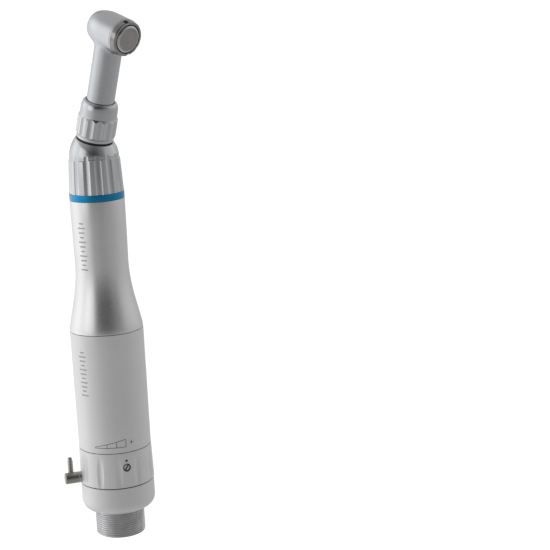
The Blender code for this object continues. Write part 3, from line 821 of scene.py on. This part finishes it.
gripSetup = {
    "bottom": 96.39, "bottomR": 7.37, "shoulder": 105.35, "shoulderR": 6.92,
    "chamferTop": 105.66, "domeR": 6.67, "domeArc": 9.0,
    "flutes": 14, "fluteR": 1.75, "fluteDepth": 0.34, "fluteStart": -8.1,
    "flat": 2.36, "flatR": 5.15, "slope": 50,
    "skirtR": 6.45, "skirtTop": 99.8, "hollowR": 5.5, "hollowTop": 105.4,
    "collarR": 4.4, "collarTop": 7.2, "collarFoot": 1.0, "neckHole": 4.05,
}


def makeGrip(s):
    dome = arcOutline((s["domeR"] - s["domeArc"], s["chamferTop"] + 0.25), s["domeArc"], 50, 0, 26)
    outline = [
        (0, dome[0][1]), *dome, (s["domeR"], s["chamferTop"], 0.1), (s["shoulderR"], s["shoulder"]),
        (s["bottomR"], s["bottom"], 0.06), (s["skirtR"], s["bottom"]), (s["skirtR"], s["skirtTop"]),
        (s["hollowR"], s["skirtTop"]), (s["hollowR"], s["hollowTop"]), (0, s["hollowTop"]),
    ]
    grip = asObject("fluted_grip", spun(softened(outline), 196), greySatin)
    # a hollow cutter leaves the flat seat and the slope below it
    drop, reach, clear = 3.5, 14, 9
    foot = s["flat"] - drop
    slopeR = s["flatR"] + drop / math.tan(math.radians(s["slope"]))
    cone = [
        (reach, clear), (reach, foot), (slopeR, foot), (s["flatR"], s["flat"], 0.12),
        (3.0, s["flat"]), (3.0, clear),
    ]
    carve(grip, spun(softened(cone), 160, neckSpace))
    collar = [
        (0, s["collarTop"]), (s["collarR"], s["collarTop"]),
        (s["collarR"], s["collarFoot"]), (0, s["collarFoot"]),
    ]
    carve(grip, spun(collar, 112, neckSpace), operation="UNION")
    carve(grip, rodsAround(s["neckHole"], -3.4, clear, [(0, 0)], neckSpace, 96))
    middle = (s["bottomR"] + s["shoulderR"]) / 2 + s["fluteR"] - s["fluteDepth"]
    lean = math.degrees(math.atan2(s["bottomR"] - s["shoulderR"], s["shoulder"] - s["bottom"]))
    height = (s["bottom"] + s["shoulder"]) / 2
    places = [(middle, s["fluteStart"] + 360 * i / s["flutes"]) for i in range(s["flutes"])]
    carve(grip, rodsAround(s["fluteR"], height - 6.5, height + 6.0, places, segments=64, lean=lean))
    fit(grip, "grip_collar", 24)


nutSetup = {
    "top": 13.45, "opening": 3.88, "domeR": 4.95, "domeStart": 11.0, "coneTop": 9.4,
    "fluteTop": 8.75, "fluteTopR": 5.35, "fluteFoot": 4.2, "flange": 5.0, "flangeTop": 3.6, "flangeFoot": 2.9,
    "flutes": 14, "fluteR": 1.9, "fluteDepth": 0.29, "fluteStart": -8.6, "bore": 4.68, "boreTop": 7.6,
}


def makeNut(s):
    dome = []
    for i in range(19):
        a = math.radians(5 * i)
        radius = s["opening"] + (s["domeR"] - s["opening"]) * math.sin(a) ** 0.9
        dome.append((radius, s["domeStart"] + (s["top"] - s["domeStart"]) * math.cos(a)))
    waist = s["flange"] - 0.12
    outline = [
        *dome, (s["domeR"] + 0.03, s["coneTop"], 0.12), (s["fluteTopR"], s["fluteTop"]),
        (s["fluteTopR"], s["fluteFoot"]), (waist, s["fluteFoot"] - 0.32), (waist, 3.7),
        (s["flange"], s["flangeTop"]), (s["flange"], s["flangeFoot"], 0.1), (s["bore"], s["flangeFoot"]),
        (s["bore"], s["boreTop"]), (s["opening"], s["boreTop"]),
    ]
    nut = asObject("fluted_neck_nut", spun(softened(outline), 196, neckSpace), neckSatin)
    distance = s["fluteTopR"] + s["fluteR"] - s["fluteDepth"]
    places = [(distance, s["fluteStart"] + 360 * i / s["flutes"]) for i in range(s["flutes"])]
    carve(nut, rodsAround(s["fluteR"], 3.72, 11.5, places, neckSpace, 64))
    fit(nut, "ring_nut", 24)


sealSetup = {"middle": (4.64, 2.62), "radius": 0.26}


def makeSeal(s):
    section = arcOutline(s["middle"], s["radius"], 0, 345, 24)
    fit(asObject("neck_seal_ring", spun(section, 144, neckSpace), rubber), "bend_oring")


makeShank(shankSetup)
makeBlueRing(blueRingSetup)
makeGrip(gripSetup)
makeNut(nutSetup)
makeSeal(sealSetup)
print("sheath made")


# head: neck and head in one, blended with a fillet

headSetup = {
    "neckR": 3.7, "neckStart": 0.6, "radius": 4.87, "rim": 4.62,
    "noseR": 3.6, "nose": -5.62, "noseRound": 0.7, "curveStart": 0.4, "curvePower": 2.6, "fillet": 1.5,
    "bore": 3.9, "web": -2.95, "pocket": 3.25, "pocketFloor": -4.75, "hole": 1.9, "holeMouth": 0.7,
    "neckBore": 2.95, "voxel": 0.15, "spare": 1.2,
}


def headDepth(points, s):
    # signed distance from the surface of the filleted head, for points in the head's space
    x, y, z = points.T
    side = np.hypot(x, y)
    fall = np.clip((s["curveStart"] - z) / (s["curveStart"] - s["nose"]), 0, 1.4)
    drum = side - (s["radius"] - (s["radius"] - s["noseR"]) * fall ** s["curvePower"])
    drum = smoothMax(drum, s["nose"] - z, s["noseRound"])
    neck = np.hypot(y, z) - s["neckR"]  # the neck lies along this space's +X
    neck = np.maximum(neck, -x - 0.5)
    return -smoothMax(-drum, -neck, s["fillet"])


def smoothMax(a, b, reach):
    near = np.clip(reach - np.abs(a - b), 0, None) / reach
    return np.maximum(a, b) + near ** 3 * reach / 6


def settleOnSurface(piece, s, rounds=4):
    # each vertex slides along the slope of the distance until it lies on the surface
    mesh = piece.data
    flat = np.empty(len(mesh.vertices) * 3)
    mesh.vertices.foreach_get("co", flat)
    points = flat.reshape(-1, 3) / mm
    step = 0.02
    moving = (points[:, 2] < s["rim"] + 0.8) & (points[:, 0] < neckLength - s["neckStart"] - 0.3)
    for _ in range(rounds):
        depth = headDepth(points, s)
        slope = np.stack([
            (headDepth(points + np.eye(3)[k] * step, s) - depth) / step for k in range(3)
        ], axis=1)
        slope /= np.maximum((slope ** 2).sum(1, keepdims=True), 0.25)
        points[moving] -= np.clip(depth[:, None] * slope, -0.3, 0.3)[moving]
    mesh.vertices.foreach_set("co", (points * mm).ravel())
    mesh.update()


def makeHead(s):
    length = neckLength - s["neckStart"]
    toNeck = Matrix.Rotation(math.radians(90), 4, "Y")
    top = s["rim"] + s["spare"]
    drum = [
        (0, top), (s["radius"], top), (s["radius"], -1.5), (s["radius"] - 0.9, -4.6),
        (s["noseR"], s["nose"]), (0, s["nose"]),
    ]
    head = asObject("contra_angle_head", spun(drum, 120), neckSatin)
    neck = spun([(0, length), (s["neckR"], length), (s["neckR"], 0), (0, 0)], 96, toNeck)
    carve(head, neck, operation="UNION")
    remesh = head.modifiers.new("even", "REMESH")
    remesh.mode = "VOXEL"
    remesh.voxel_size = s["voxel"] * mm
    applied(head)
    head.data.materials.clear()
    head.data.materials.append(neckSatin)
    settleOnSurface(head, s)
    bm = bmesh.new()
    bm.from_mesh(head.data)
    for place, out in (((0, 0, s["rim"] * mm), (0, 0, 1)), (((length - 0.1) * mm, 0, 0), (1, 0, 0))):
        cut = bmesh.ops.bisect_plane(
            bm, geom=[*bm.verts, *bm.edges, *bm.faces], plane_co=place, plane_no=out, clear_outer=True,
        )["geom_cut"]
        bmesh.ops.holes_fill(bm, edges=[e for e in cut if isinstance(e, bmesh.types.BMEdge)], sides=0)
    bmesh.ops.transform(bm, matrix=headSpace, verts=bm.verts)
    bmesh.ops.recalc_face_normals(bm, faces=bm.faces)
    bm.to_mesh(head.data)
    bm.free()
    below = s["nose"] - 0.45
    bore = [
        (0, 7), (s["bore"], 7), (s["bore"], s["web"]), (s["pocket"], s["web"]),
        (s["pocket"], s["pocketFloor"]), (s["hole"], s["pocketFloor"]),
        (s["hole"], s["nose"] + 0.25), (s["hole"] + s["holeMouth"], below), (0, below),
    ]
    neckBore = rodsAround(s["neckBore"], -1, neckLength, [(0, 0)], neckSpace, 80)
    carve(head, spun(bore, 96, headSpace), neckBore)
    fit(head, "head_housing", 28)


def paintHighlightWhere(piece, chosen):
    # chosen(radius, height) in the head's space picks the faces that get the brighter steel, a painted
    # highlight
    piece.data.materials.append(paintedHighlightSteel)
    back = headSpace.inverted()
    for face in piece.data.polygons:
        place = back @ face.center
        if chosen(math.hypot(place.x, place.y) / mm, place.z / mm):
            face.material_index = len(piece.data.materials) - 1


capRingSetup = {
    "face": 6.72, "faceR": 4.45, "cone": 6.5, "coneR": 4.64, "land": 5.12, "landR": 4.9, "foot": 4.72,
    "spigot": 3.7, "spigotBore": 3.4, "bore": 3.93, "floor": 5.15,
    "notchAngles": (14, 194), "notchR": 0.58, "notchHeight": 6.0, "slotHeight": 6.85,
}


def makeCapRing(s):
    outline = [
        (s["faceR"], s["face"], 0.05), (s["coneR"], s["cone"], 0.12), (s["landR"], s["land"], 0.1),
        (s["landR"], s["foot"], 0.04), (s["spigot"], s["foot"]), (s["spigot"], 3.7), (s["spigotBore"], 3.7),
        (s["spigotBore"], s["floor"]), (s["bore"], s["floor"]), (s["bore"], s["face"], 0.08),
    ]
    ring = asObject("polished_head_cap", spun(softened(outline), 168, headSpace), headSteel)
    # the land below the cone gets the painted highlight
    paintHighlightWhere(ring, lambda radius, height: radius > 4.5 and height < s["land"])
    # each spanner notch has a round foot and straight sides
    lifted = Matrix.Translation((0, 0, s["notchHeight"] * mm)) @ Matrix.Rotation(math.radians(90), 4, "Y")
    for angle in s["notchAngles"]:
        turn = headSpace @ Matrix.Rotation(math.radians(angle), 4, "Z")
        carve(ring, rodsAround(s["notchR"], 4.25, 6.2, [(0, 0)], turn @ lifted, 40))
        carve(ring, slabs((1.9, 1.9 * s["notchR"], 1.6), [(5.25, 0, s["slotHeight"])], turn))
    fit(ring, "head_cap", 24)


buttonSetup = {
    "radius": 3.66, "out": 7.0, "faceR": 3.1, "bevel": 0.36, "skirt": 6.1, "wall": 0.5, "faceThickness": 0.45,
    "grooves": 15, "grooveDepth": 0.014,
}


def makeButton(s):
    # the turned face keeps its lathe grooves
    face = [(0, s["out"])]
    pitch = (s["faceR"] - 0.1) / s["grooves"]
    for i in range(s["grooves"]):
        face += [(pitch * (i + 0.5), s["out"] - s["grooveDepth"]), (pitch * (i + 1), s["out"])]
    out, radius = s["out"], s["radius"]
    inner, under = radius - s["wall"], out - s["faceThickness"]
    outline = [
        *face, (s["faceR"], out), (s["faceR"] + 0.03, out + 0.02), (s["faceR"] + 0.3, out - 0.06),
        (radius - 0.1, out - s["bevel"] * 0.62), (radius, out - s["bevel"]), (radius, s["skirt"]),
        (inner, s["skirt"]), (inner, under), (0, under),
    ]
    button = asObject("release_button", spun(softened(outline), 144, headSpace), buttonSteel)
    # the chamfer round the face gets the painted highlight
    paintHighlightWhere(button, lambda radius, height: radius > s["faceR"])
    fit(button, "push_button", 40)


spindleSetup = {
    "top": 5.0, "topR": 1.5, "step": 3.7, "radius": 1.6, "nose": -5.35, "bore": 1.2, "boreEnd": 3.0,
}


def makeSpindle(s):
    outline = [
        (0, s["top"]), (s["topR"], s["top"], 0.2), (s["topR"], s["step"]), (s["radius"], s["step"]),
        (s["radius"], s["nose"], 0.1), (s["bore"], s["nose"], 0.12),
        (s["bore"], s["boreEnd"]), (0, s["boreEnd"]),
    ]
    shaft = spun(softened(outline), 72, headSpace)
    fit(asObject("chuck_spindle_turned", shaft, slotLooks["machined_steel"]), "chuck_spindle")


makeHead(headSetup)
makeCapRing(capRingSetup)
makeButton(buttonSetup)
makeSpindle(spindleSetup)
print("head made")


# floor, world and lamp

studioSetup = {
    "floorDrop": 75, "floorSize": 9.0,
    # brightness in four bands from low to high: (degrees from the camera, left positive; level)
    "towards": (0.7645, -0.6447, 0), "left": (-0.6447, -0.7645, 0),
    "bands": (
        ((-180, 0.52), (-60, 0.43), (0, 0.40), (60, 0.50), (110, 0.70), (180, 0.50)),
        ((-180, 0.50), (-110, 0.50), (-50, 0.38), (-10, 0.33), (25, 0.38), (60, 0.70), (105, 1.20),
         (140, 1.05), (180, 0.45)),
        ((-180, 0.55), (-110, 0.75), (-75, 0.60), (-45, 0.22), (-10, 0.03), (20, 0.03), (50, 0.36),
         (80, 1.05), (110, 1.42), (145, 0.85), (170, 0.40), (180, 0.50)),
        ((-180, 0.55), (-75, 0.36), (-20, 0.15), (45, 0.38), (105, 0.55), (180, 0.55)),
    ),
    "rises": ((-0.75, -0.30), (-0.10, 0.16), (0.40, 0.80)),
    "lampPlace": (-60, -560, 230), "lampSize": 330, "lampPower": 0.25,
}


def makeFloor(s):
    bm = bmesh.new()
    bmesh.ops.create_grid(bm, x_segments=1, y_segments=1, size=s["floorSize"] / 2)
    bmesh.ops.translate(bm, verts=bm.verts, vec=(0, 0, -s["floorDrop"] * mm))
    material, tree, shader = newMaterial("pale_floor")
    mottle = noise(tree, objectPoint(tree), 0.02).outputs["Fac"]
    twoTone(tree, shader, mottle, (0.92, 0.92, 0.92), (0.96, 0.96, 0.96))
    shader.inputs["Roughness"].default_value = 0.9
    shader.inputs["Specular IOR Level"].default_value = 0.0
    shader.inputs["Emission Color"].default_value = (1, 1, 1, 1)
    shader.inputs["Emission Strength"].default_value = 0.62
    floor = asObject("floor", bm, material)
    floor.visible_glossy = False
    floor.visible_diffuse = False


def ramp(tree, value, stops):
    node = addNode(tree, "ValToRGB", {"Fac": value})
    node.color_ramp.interpolation = "EASE"
    first, last = node.color_ramp.elements[0], node.color_ramp.elements[1]
    first.position, last.position = stops[0][0], stops[-1][0]
    for element, (_, level) in zip((first, last), (stops[0], stops[-1])):
        element.color = (level, level, level, 1)
    for position, level in stops[1:-1]:
        node.color_ramp.elements.new(position).color = (level, level, level, 1)
    return node.outputs["Color"]


def makeWorld(s):
    world = bpy.data.worlds.new("studio")
    bpy.context.scene.world = world
    world.use_nodes = True
    tree = world.node_tree
    back = tree.nodes["Background"]
    ray = addNode(tree, "TexCoord").outputs["Generated"]
    to, left = [
        addNode(tree, "VectorMath", {0: ray, 1: s[key]}, operation="DOT_PRODUCT").outputs["Value"]
        for key in ("towards", "left")
    ]
    angle = addNode(tree, "Math", {0: left, 1: to}, operation="ARCTAN2").outputs[0]
    turn = spread(tree, angle, 0, 1, -math.pi, math.pi)
    up = addNode(tree, "SeparateXYZ", {0: ray}).outputs["Z"]
    bands = [ramp(tree, turn, [(a / 360 + 0.5, level) for a, level in band]) for band in s["bands"]]
    light = bands[0]
    for band, (low, high) in zip(bands[1:], s["rises"]):
        limits = {"Value": up, "From Min": low, "From Max": high}
        rise = addNode(tree, "MapRange", limits, interpolation_type="SMOOTHSTEP").outputs["Result"]
        mix = addNode(tree, "Mix", {"Factor": rise}, data_type="RGBA")
        tree.links.new(light, mix.inputs["A"])
        tree.links.new(band, mix.inputs["B"])
        light = mix.outputs["Result"]
    tree.links.new(light, back.inputs["Color"])
    white = addNode(tree, "Background", {"Color": (1, 1, 1, 1)})
    seen = addNode(tree, "LightPath").outputs["Is Camera Ray"]
    both = addNode(tree, "MixShader", {0: seen, 1: back.outputs[0], 2: white.outputs[0]})
    tree.links.new(both.outputs[0], tree.nodes["World Output"].inputs["Surface"])


def makeLamp(s):
    data = bpy.data.lights.new("softbox", "AREA")
    data.size = s["lampSize"] * mm
    data.energy = s["lampPower"]
    lamp = bpy.data.objects.new("softbox", data)
    lamp.location = Vector(s["lampPlace"]) * mm
    lamp.rotation_euler = (Vector((0, 0, 80)) * mm - lamp.location).to_track_quat("-Z", "Y").to_euler()
    lamp.visible_camera = False
    bpy.context.scene.collection.objects.link(lamp)


makeFloor(studioSetup)
makeWorld(studioSetup)
makeLamp(studioSetup)
bpy.context.scene.view_settings.view_transform = "Standard"
print("studio made")
